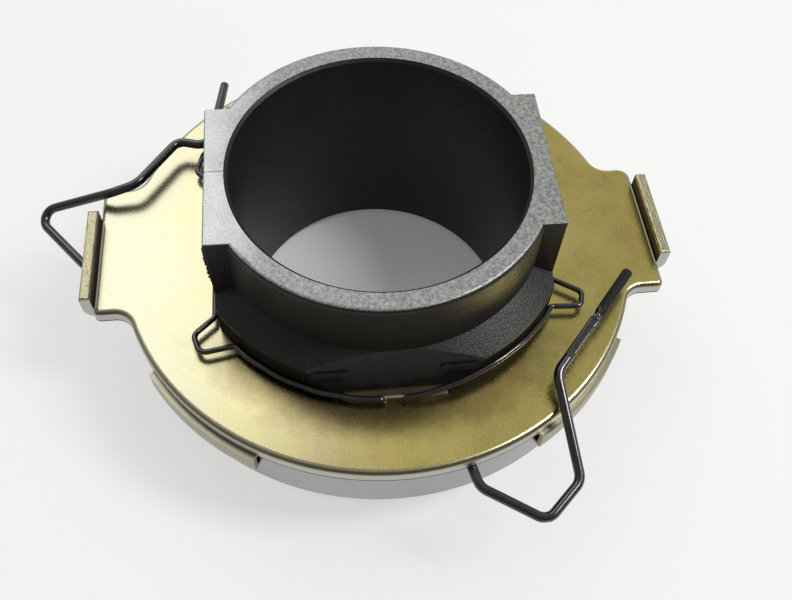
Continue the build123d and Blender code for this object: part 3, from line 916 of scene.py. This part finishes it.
@dataclass
class BentWire:
    """Round wire bent over pegs: straight runs joined by arcs."""

    name: str
    node: str
    corners_mm: list[Point]
    bends_mm: list[float]
    radius_mm: float
    box: Box
    way_out_mm: Point | None = None
    swell: float = 0.0
    swell_run_mm: float = 2.0
    sides: int = 22
    arc_steps: int = 28
    step_mm: float = 0.3
    end_rings_mm: tuple[float, ...] = (0.0, 0.03, 0.09, 0.18)
    first_step_mm: float = 0.4
    end_share: float = 0.80
    end_round_mm: float = 0.22
    search_steps: int = 4000

    def route(self) -> np.ndarray:
        """The wire's middle line in millimetres.

        At each corner the arc's middle lies on the bisector, at bend / sin(half) from the corner, where half
        is half the angle between the two runs. The arc starts bend / tan(half) back along the first run and
        turns through 180 degrees less the full angle.

        Returns:
            Points along the line, shaped (points, 3).
        """
        points = np.array(self.corners_mm)
        bend = np.array(self.bends_mm)[:, None]
        corner = points[1:-1]
        back = unit(points[:-2] - corner)
        ahead = unit(points[2:] - corner)
        half = 0.5 * np.arccos(np.clip(np.sum(back * ahead, axis=1, keepdims=True), -1.0, 1.0))
        middle = corner + bend / np.sin(half) * unit(back + ahead)
        start = corner + bend / np.tan(half) * back
        spoke = unit(start - middle)[:, None, :]
        turn = (math.pi - 2.0 * half)[:, None, :] * np.linspace(0.0, 1.0, self.arc_steps)[None, :, None]
        swing = np.cos(turn) * spoke - np.sin(turn) * back[:, None, :]
        arcs = middle[:, None, :] + bend[:, None, :] * swing
        return np.vstack([points[:1], arcs.reshape(-1, 3), points[-1:]])

    def nearest(self, place_mm: Point) -> float:
        """How far along the wire the point nearest to a place lies.

        Args:
            place_mm: the place.

        Returns:
            The distance in millimetres.
        """
        line = self.route()
        along = np.linspace(0.0, lengths_along(line)[-1], self.search_steps)
        gap = np.linalg.norm(points_at(line, along) - np.array(place_mm), axis=1)
        return float(along[np.argmin(gap)])

    def girth(self, along: np.ndarray, angle: np.ndarray) -> np.ndarray:
        """Radius as a share of the nominal one: larger past the way out, and rounded at the cut ends.

        The rounding is the end's share, plus the rest times the square root of the distance to the end over
        the length that is rounded. Past the way out the share grows by the swell, over an eased step.

        Args:
            along: distance along the wire in millimetres, shaped (rings, 1).
            angle: angle round the wire, 0 at its side and a quarter turn at its top, shaped (1, sides).

        Returns:
            The share for each point.
        """
        to_end = np.minimum(along, along.max() - along)
        rounding = np.sqrt(np.clip(to_end / self.end_round_mm, 0.0, 1.0))
        share = (self.end_share + (1.0 - self.end_share) * rounding) * np.ones_like(angle)
        if self.way_out_mm is None:
            return share
        way_out = self.nearest(self.way_out_mm)
        past = eased(along, way_out - self.swell_run_mm, way_out + self.swell_run_mm)
        return share * (1.0 + self.swell * past)

    def build(self) -> bpy.types.Object:
        """Sweep the round section along the route.

        The section's side direction is the run crossed with the vertical, and its up direction is the side
        crossed with the run. A point is middle + radius * share * (cos(angle) * side + sin(angle) * up), and
        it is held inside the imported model's box.

        Returns:
            The wire's object.
        """
        line = self.route()
        total = lengths_along(line)[-1]
        ends = np.array(self.end_rings_mm)
        inner = np.linspace(self.first_step_mm, total - self.first_step_mm, int(total / self.step_mm))
        along = np.concatenate([ends, inner, total - ends[::-1]])
        middle = points_at(line, along)
        run = unit(np.gradient(middle, along, axis=0))
        side = unit(np.cross(run, [0.0, 0.0, 1.0]))
        up = np.cross(side, run)
        angle = np.linspace(0.0, 2.0 * math.pi, self.sides, endpoint=False)[None, :]
        radius = self.radius_mm * self.girth(along[:, None], angle)
        spread = np.cos(angle)[..., None] * side[:, None, :] + np.sin(angle)[..., None] * up[:, None, :]
        rings = (middle[:, None, :] + radius[..., None] * spread) * MM
        rings = np.clip(rings, np.array(self.box[0]), np.array(self.box[1]))
        return ring_mesh(self.name, rings[:, ::-1], along * MM)


@dataclass
class CrimpedHook(BentWire):
    """A fork spring whose end was held in a tool and painted: a pinched neck, and a flat beside it."""

    neck_mm: Point = (46.6, -29.6, 5.2)
    neck_depth: float = 0.24
    neck_width_mm: float = 0.75
    burr: float = 0.07
    burr_gap_mm: float = 1.9
    burr_width_mm: float = 0.6
    paint_swell: float = 0.08
    paint_past_neck_mm: Span = (0.4, 1.6)
    flat_start_mm: Point = (38.2, -39.0, 4.8)
    flat_run_mm: float = 1.0
    flat_stop_before_neck_mm: Span = (1.5, 0.9)
    flat_height: float = 0.66
    flat_fade: float = 0.7
    least_sine: float = 0.05

    def girth(self, along: np.ndarray, angle: np.ndarray) -> np.ndarray:
        """The plain girth less the neck, and cut off level above the flat's height.

        The neck takes off its depth times a bell curve, the burr before it adds a smaller bell curve, and
        past it the coat of paint adds its swell. Along the flat the radius is held at height / sin(angle)
        wherever that is less than the full radius.

        Args:
            along: distance along the wire in millimetres, shaped (rings, 1).
            angle: angle round the wire, 0 at its side and a quarter turn at its top, shaped (1, sides).

        Returns:
            The share for each point.
        """
        neck = self.nearest(self.neck_mm)
        flat_start = self.nearest(self.flat_start_mm)
        paint_low, paint_high = self.paint_past_neck_mm
        stop_low, stop_high = self.flat_stop_before_neck_mm
        share = 1.0 - self.neck_depth * bell(along, neck, self.neck_width_mm)
        share = share + self.burr * bell(along, neck - self.burr_gap_mm, self.burr_width_mm)
        share = share + self.paint_swell * eased(along, neck + paint_low, neck + paint_high)
        plain = super().girth(along, angle) * share
        flat = eased(along, flat_start - self.flat_run_mm, flat_start + self.flat_run_mm)
        flat = flat * (1.0 - eased(along, neck - stop_low, neck - stop_high))
        ceiling = self.flat_height + (1.0 - flat) * self.flat_fade
        return np.minimum(plain, ceiling / np.maximum(np.sin(angle), self.least_sine))


@dataclass(frozen=True)
class WireCircle:
    """A level circle round the bore axis that a wire follows in wide bends."""

    radius_mm: float
    height_mm: float
    bend_share: float

    def at(self, angle_deg: float, lift_mm: float = 0.0) -> Point:
        """The circle's point at an angle, raised by a lift.

        Args:
            angle_deg: the angle from the object's right, in degrees.
            lift_mm: how far the point is raised.

        Returns:
            The point in millimetres.
        """
        turn = math.radians(angle_deg)
        return self.radius_mm * math.cos(turn), self.radius_mm * math.sin(turn), self.height_mm + lift_mm

    def run(self, start_deg: float, end_deg: float, corners: int) -> tuple[list[Point], list[float]]:
        """Corners and bends of a wire that follows the circle from one angle to another.

        The corners lie in the middle of equal parts of the turn, at radius / cos(half a part), so that the
        runs between them touch the circle.

        Args:
            start_deg: first angle in degrees.
            end_deg: last angle in degrees.
            corners: how many bends share the turn.

        Returns:
            The corner points in millimetres and their bend radii.
        """
        half_part = (end_deg - start_deg) / (2 * corners)
        outer_mm = self.radius_mm / math.cos(math.radians(half_part))
        outside = WireCircle(outer_mm, self.height_mm, self.bend_share)
        points = [outside.at(start_deg + (2 * k + 1) * half_part) for k in range(corners)]
        return points, [self.bend_share * self.radius_mm] * corners


@dataclass(frozen=True)
class HookCourse:
    """A fork spring's course: where it leaves the cup, which way its leg lies, and its corners outside."""

    way_out_deg: float
    leg_turn_deg: float
    corners_mm: tuple[Point, ...]
    bends_mm: tuple[float, ...]


@dataclass
class WireParts:
    """The two fork springs and the clip that holds the sleeve's skirt."""

    box: Box
    hook_radius_mm: float = 1.0
    hook_swell: float = 0.12
    leg_circle: WireCircle = WireCircle(radius_mm=57.0, height_mm=-4.3, bend_share=0.3)
    leg_corners: int = 2
    way_out_bend_mm: float = 2.2
    right_course: HookCourse = HookCourse(
        way_out_deg=-75.8,
        leg_turn_deg=-14.0,
        corners_mm=((15.9, -63.6, -4.3), (28.8, -72.0, -4.5), (37.2, -64.3, -3.6),
                    (35.0, -42.6, 4.5), (47.8, -28.2, 5.4), (56.7, -17.7, 4.5)),
        bends_mm=(4.0, 3.0, 3.5, 4.0, 6.0),
    )
    left_course: HookCourse = HookCourse(
        way_out_deg=180.0,
        leg_turn_deg=14.0,
        corners_mm=((-70.3, 0.0, -4.3), (-84.6, 17.4, -4.0), (-64.0, 16.2, 3.4), (-57.6, 17.6, 4.5),
                    (-48.0, 31.1, 4.5), (-40.4, 28.9, 4.5), (-38.0, 41.0, 4.5), (-36.3, 50.8, 4.5)),
        bends_mm=(3.5, 3.0, 5.0, 6.0, 3.0, 3.0, 6.0),
    )
    clip_radius_mm: float = 0.65
    clip_sides: int = 18
    clip_circle: WireCircle = WireCircle(radius_mm=44.7, height_mm=2.2, bend_share=0.5)
    clip_tip_lift_mm: float = -1.2
    clip_tip_bend_mm: float = 0.8
    clip_left_deg: tuple[float, float, float] = (-93.6, -93.8, -94.5)
    clip_right_deg: tuple[float, float, float] = (-86.8, -87.5, -87.7)
    clip_rise_mm: tuple[float, ...] = (0.8, 2.0, 2.5, 1.8, 0.7)
    front_left_loop_mm: tuple[Span, ...] = ((-34.2, -28.8), (-41.9, -30.1), (-43.3, -25.3), (-38.6, -21.0))
    rear_left_loop_mm: tuple[Span, ...] = ((-38.6, 17.6), (-43.6, 22.6), (-41.6, 29.4), (-34.2, 28.8))
    right_loop_mm: tuple[Span, ...] = ((37.6, -24.2), (44.6, -24.6), (45.6, -20.8), (38.6, -16.2))
    left_loop_bends_mm: tuple[float, ...] = (1.2, 2.0, 2.0, 1.2)
    right_loop_bends_mm: tuple[float, ...] = (1.2, 1.5, 1.5, 1.2)
    left_arc_corners: int = 4
    rear_arc_corners: int = 8
    right_arc_corners: int = 5

    def hook(self, kind: type[BentWire], name: str, node: str, course: HookCourse) -> BentWire:
        """A fork spring from its hidden leg inside the cup to its free end.

        Args:
            kind: plain or crimped wire.
            name: the piece's name.
            node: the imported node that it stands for.
            course: its way out of the cup and its corners.

        Returns:
            The wire.
        """
        circle = self.leg_circle
        start = course.way_out_deg + course.leg_turn_deg
        way_out = circle.at(course.way_out_deg)
        corners, bends = circle.run(start, course.way_out_deg, self.leg_corners)
        return kind(name, node, [circle.at(start), *corners, way_out, *course.corners_mm],
                    [*bends, self.way_out_bend_mm, *course.bends_mm],
                    self.hook_radius_mm, self.box, way_out, self.hook_swell)

    def clip(self) -> BentWire:
        """The thin ring round the skirt, with a pinched loop at each corner and its tips turned down.

        Returns:
            The wire.
        """
        circle = self.clip_circle
        loops_left = self.front_left_loop_mm + self.rear_left_loop_mm
        left_x, left_y = self.front_left_loop_mm[0]
        right_x, right_y = self.right_loop_mm[0]
        left_end = math.degrees(math.atan2(left_y, left_x))
        right_end = math.degrees(math.atan2(right_y, right_x))
        left_tip, left_corner, left_start = self.clip_left_deg
        right_start, right_corner, right_tip = self.clip_right_deg
        front_left, left_arc = circle.run(left_start, left_end, self.left_arc_corners)
        rear, rear_arc = circle.run(-left_end, -right_end, self.rear_arc_corners)
        front_right, right_arc = circle.run(right_end, right_start, self.right_arc_corners)
        lifted = [(x, y, z + rise) for (x, y, z), rise in zip(front_right, self.clip_rise_mm)]
        sides_left = [(x, y, circle.height_mm) for x, y in loops_left]
        rear_right = [(x, -y, circle.height_mm) for x, y in self.right_loop_mm]
        loop_right = [(x, y, circle.height_mm) for x, y in reversed(self.right_loop_mm)]
        points = [circle.at(left_tip, self.clip_tip_lift_mm), circle.at(left_corner),
                  *front_left, *sides_left, *rear, *rear_right, *loop_right, *lifted,
                  circle.at(right_corner), circle.at(right_tip, self.clip_tip_lift_mm)]
        left_bends = self.left_loop_bends_mm + self.left_loop_bends_mm
        right_bends = self.right_loop_bends_mm + self.right_loop_bends_mm
        bends = [self.clip_tip_bend_mm, *left_arc, *left_bends, *rear_arc, *right_bends, *right_arc,
                 self.clip_tip_bend_mm]
        return BentWire("sleeve_clip_wire", "sleeve_clip", points, bends, self.clip_radius_mm, self.box,
                        sides=self.clip_sides)

    def build(self, finish: bpy.types.Material) -> list[bpy.types.Object]:
        """Bend the three wires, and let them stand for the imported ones.

        Args:
            finish: the wire's finish.

        Returns:
            The three objects.
        """
        wires = (self.hook(CrimpedHook, "right_hook_wire", "fork_spring_right", self.right_course),
                 self.hook(BentWire, "left_hook_wire", "fork_spring_left", self.left_course),
                 self.clip())
        pieces = []
        for wire in wires:
            piece = wire.build()
            piece.data.materials.append(finish)
            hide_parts(wire.node)
            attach(piece, "carrier")
            LOG.info("%s is bent with %d faces", wire.name, len(piece.data.polygons))
            pieces.append(piece)
        return pieces


@dataclass(frozen=True)
class FlashStrip:
    """A thin wedge of plastic that stands up along the outer side of the left wing."""

    name: str
    y_mm: float
    root_mm: float
    tip_mm: float
    reach_mm: float
    top_z_mm: float
    foot_z_mm: float


@dataclass
class MouldFlash:
    """What the mould left on the left wing's outer side: a ragged fin at its front, and the parting line."""

    side_x_mm: float = -38.0
    side_draft: float = 0.0151
    sleeve_top_mm: float = 26.0
    sunk_mm: float = 0.15
    foot_fade_mm: float = 2.0
    top_fade_mm: float = 1.5
    raggedness: Span = (0.3, 2.0)
    knots: int = 30
    rings: int = 90
    seed: int = 11
    strips: tuple[FlashStrip, ...] = (
        FlashStrip("wing_flash", y_mm=-19.05, root_mm=0.13, tip_mm=0.05, reach_mm=0.28,
                   top_z_mm=26.0, foot_z_mm=13.0),
        FlashStrip("parting_ridge", y_mm=0.5, root_mm=0.16, tip_mm=0.04, reach_mm=0.07,
                   top_z_mm=26.0, foot_z_mm=10.0),
    )

    def build(self, finish: bpy.types.Material) -> list[bpy.types.Object]:
        """Stand both strips on the wing.

        Args:
            finish: the sleeve's finish.

        Returns:
            The strips' objects.
        """
        draws = np.random.default_rng(self.seed)
        pieces = []
        for strip in self.strips:
            piece = self.stand(strip, draws.uniform(*self.raggedness, self.knots))
            piece.data.materials.append(finish)
            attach(piece, "carrier")
            LOG.info("%s stands on the left wing", strip.name)
            pieces.append(piece)
        return pieces

    def stand(self, strip: FlashStrip, widths: np.ndarray) -> bpy.types.Object:
        """One strip down the wing's drafted side.

        At each height the section is a thin wedge. Its root is sunk in the side, and its tip stands out by
        the strip's reach times the ragged widths, eased to nothing at both ends.

        Args:
            strip: the strip's place and size.
            widths: the ragged shares of its reach at even steps of height.

        Returns:
            The strip's object.
        """
        height = np.linspace(strip.top_z_mm, strip.foot_z_mm, self.rings)
        ragged = np.interp(height, np.linspace(strip.foot_z_mm, strip.top_z_mm, self.knots), widths)
        ends = eased(height, strip.foot_z_mm, strip.foot_z_mm + self.foot_fade_mm)
        ends = ends * (1.0 - eased(height, strip.top_z_mm - self.top_fade_mm, strip.top_z_mm))
        side = self.side_x_mm + self.side_draft * (self.sleeve_top_mm - height)
        root = side + self.sunk_mm
        tip = side - strip.reach_mm * ragged * ends
        across = np.stack([root, tip, tip, root], axis=1)
        spread = np.array([-strip.root_mm, -strip.tip_mm, strip.tip_mm, strip.root_mm])
        along = np.broadcast_to(strip.y_mm + spread, across.shape)
        up = np.broadcast_to(height[:, None], across.shape)
        rings = np.stack([across, along, up], axis=-1) * MM
        return ring_mesh(strip.name, rings, (strip.top_z_mm - height) * MM)


@dataclass(frozen=True)
class Softbox:
    """A rectangular light that faces the object from a bearing and a height."""

    name: str
    bearing_deg: float
    height_deg: float
    size_m: Span
    watts: float
    tint: Colour
    distance_m: float = 1.2

    def place(self) -> Point:
        """Where the light stands: its bearing turns from the rear to the right, and its height lifts it.

        Returns:
            The place in metres.
        """
        turn = math.radians(self.bearing_deg)
        lift = math.radians(self.height_deg)
        level = self.distance_m * math.cos(lift)
        return level * math.sin(turn), level * math.cos(turn), self.distance_m * math.sin(lift)

    def hang(self) -> None:
        """Put the light in the scene and turn it to the object."""
        data = bpy.data.lights.new(self.name, "AREA")
        data.shape = "RECTANGLE"
        data.size, data.size_y = self.size_m
        data.energy = self.watts
        data.color = self.tint
        lamp = placed(self.name, data)
        lamp.location = self.place()
        lamp.rotation_mode = "QUATERNION"
        lamp.rotation_quaternion = (-Vector(self.place())).to_track_quat("-Z", "Y")


@dataclass
class Studio:
    """Pale floor, soft lights and the camera at the photograph's angle."""

    floor_z: float
    eye_mm: Point = (-14.19, -129.83, 171.0)
    aim_mm: Point = (1.10, -26.39, 8.0)
    roll_deg: float = 3.17
    lens_mm: float = 40.16
    sensor_mm: float = 36.0
    shift_x: float = 0.0023
    shift_y: float = 0.0146
    clip_start_m: float = 0.005
    floor_half_m: float = 2.5
    floor_rough: float = 0.8
    floor_specular: float = 0.1
    floor_lit: Colour = (0.88, 0.88, 0.885)
    floor_seen: Colour = (0.34, 0.34, 0.34)
    floor_glow_tint: Colour = (1.0, 1.0, 1.0)
    floor_glow: float = 0.58
    under_object_mm: Span = (38.0, 56.0)
    under_object_share: Span = (0.22, 1.0)
    softboxes: tuple[Softbox, ...] = (
        Softbox("lamp", bearing_deg=101.0, height_deg=51.0, size_m=(0.26, 0.50), watts=8.6,
                tint=(1.0, 0.99, 0.96)),
        Softbox("window", bearing_deg=-22.0, height_deg=53.0, size_m=(0.70, 0.66), watts=2.9,
                tint=(0.97, 0.99, 1.0)),
    )
    surround: tuple[Stop, ...] = (
        (0.0, (0.14, 0.14, 0.13)),
        (0.45, (0.34, 0.34, 0.32)),
        (1.0, (0.74, 0.74, 0.72)),
    )

    def add_camera(self) -> None:
        """The camera, recovered from the ellipses of the bore, the collar and the plate."""
        data = bpy.data.cameras.new("camera")
        data.lens = self.lens_mm
        data.sensor_width = self.sensor_mm
        data.shift_x = self.shift_x
        data.shift_y = self.shift_y
        data.clip_start = self.clip_start_m
        camera = placed("camera", data)
        eye = Vector(self.eye_mm) * MM
        look = (Vector(self.aim_mm) * MM - eye).to_track_quat("-Z", "Y")
        camera.rotation_mode = "QUATERNION"
        camera.rotation_quaternion = look @ Quaternion((0.0, 0.0, 1.0), math.radians(self.roll_deg))
        camera.location = eye
        bpy.context.scene.camera = camera

    def add_floor(self) -> None:
        """A plain pale floor under the contact face.

        What sees the floor directly finds a darker surface that glows, so that it keeps the object's shadow.
        The glow fades towards the middle, where the object stands on it.
        """
        half = self.floor_half_m
        corners = [(-half, -half, self.floor_z), (half, -half, self.floor_z),
                   (half, half, self.floor_z), (-half, half, self.floor_z)]
        mesh = bpy.data.meshes.new("floor")
        mesh.from_pydata(corners, [], [(0, 1, 2, 3)])
        floor = placed("floor", mesh)
        graph = FinishGraph("floor")
        graph.set(Roughness=self.floor_rough, Specular_IOR_Level=self.floor_specular,
                  Emission_Color=rgba(self.floor_glow_tint))
        seen = graph.add(NodeKind.LIGHT_PATH).outputs
        direct = graph.maths(Operation.MAXIMUM, seen["Is Camera Ray"], seen["Is Glossy Ray"])
        direct = graph.maths(Operation.MAXIMUM, direct, seen["Is Transmission Ray"])
        open_floor = graph.remap(graph.radius(), in_metres(self.under_object_mm), self.under_object_share)
        share = graph.times(direct, open_floor)
        graph.drive("Base Color", graph.blend(share, self.floor_lit, self.floor_seen))
        graph.drive("Emission Strength", graph.times(share, self.floor_glow))
        mesh.materials.append(graph.material)
        floor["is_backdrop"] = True

    def light(self) -> None:
        """A lamp at the right, a window at the rear left, and a dim surround that is paler at the rear."""
        for softbox in self.softboxes:
            softbox.hang()
        world = bpy.data.worlds.new("surround")
        world.use_nodes = True
        tree = world.node_tree
        split = tree.nodes.new(NodeKind.SEPARATE.value)
        shift = tree.nodes.new(NodeKind.MAP_RANGE.value)
        ramp = tree.nodes.new(NodeKind.RAMP.value)
        shift.inputs["From Min"].default_value = -1.0
        set_stops(ramp.color_ramp, self.surround)
        tree.links.new(tree.nodes.new(NodeKind.COORDINATES.value).outputs["Generated"], split.inputs[0])
        tree.links.new(split.outputs[Axis.ALONG.value], shift.inputs["Value"])
        tree.links.new(shift.outputs["Result"], ramp.inputs["Fac"])
        tree.links.new(ramp.outputs["Color"], tree.nodes["Background"].inputs["Color"])
        bpy.context.scene.world = world
        bpy.context.scene.view_settings.view_transform = "Standard"


def all_finishes() -> dict[str, bpy.types.Material]:
    """Every finish by its material slot.

    Returns:
        The materials.
    """
    finishes = [
        MouldedPlastic(),
        PassivatedPlate(),
        BlackWire(),
        TurnedSteel("drawn_steel", tint=(0.42, 0.42, 0.42), shade=(0.34, 0.34, 0.34)),
        TurnedSteel("clamp_steel", tint=(0.44, 0.41, 0.29), shade=(0.34, 0.32, 0.23), rough=(0.30, 0.42)),
        TurnedSteel("race_steel", tint=(0.66, 0.66, 0.67), shade=(0.55, 0.55, 0.56), rough=(0.16, 0.26),
                    line=Mottle(0.2, 3.0, 0.65)),
        PlainFinish("spring_steel", (0.30, 0.28, 0.26), metallic=1.0, roughness=0.35),
        PlainFinish("shield_steel", (0.50, 0.50, 0.50), metallic=1.0, roughness=0.38),
        PlainFinish("ball_steel", (0.72, 0.72, 0.73), metallic=1.0, roughness=0.08),
        PlainFinish("cage_plastic", (0.50, 0.46, 0.36), metallic=0.0, roughness=0.5),
    ]
    return {finish.name: finish.build() for finish in finishes}


def main() -> None:
    """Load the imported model, dress it, add the new pieces, and set the stage."""
    logging.basicConfig(level=logging.INFO, format="%(name)s: %(message)s")
    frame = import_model()
    cad_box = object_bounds()
    slots = {part["node"]: part["material_slot"] for part in frame["record"]["subparts"]}
    finishes = all_finishes()
    Dresser(frame["nodes"], finishes).dress(slots)
    WireParts(cad_box).build(finishes["spring_wire"])
    MouldFlash().build(finishes["moulded_black"])
    studio = Studio(floor_z=cad_box[0][2])
    studio.add_camera()
    studio.add_floor()
    studio.light()


if __name__ == "__main__":
    main()
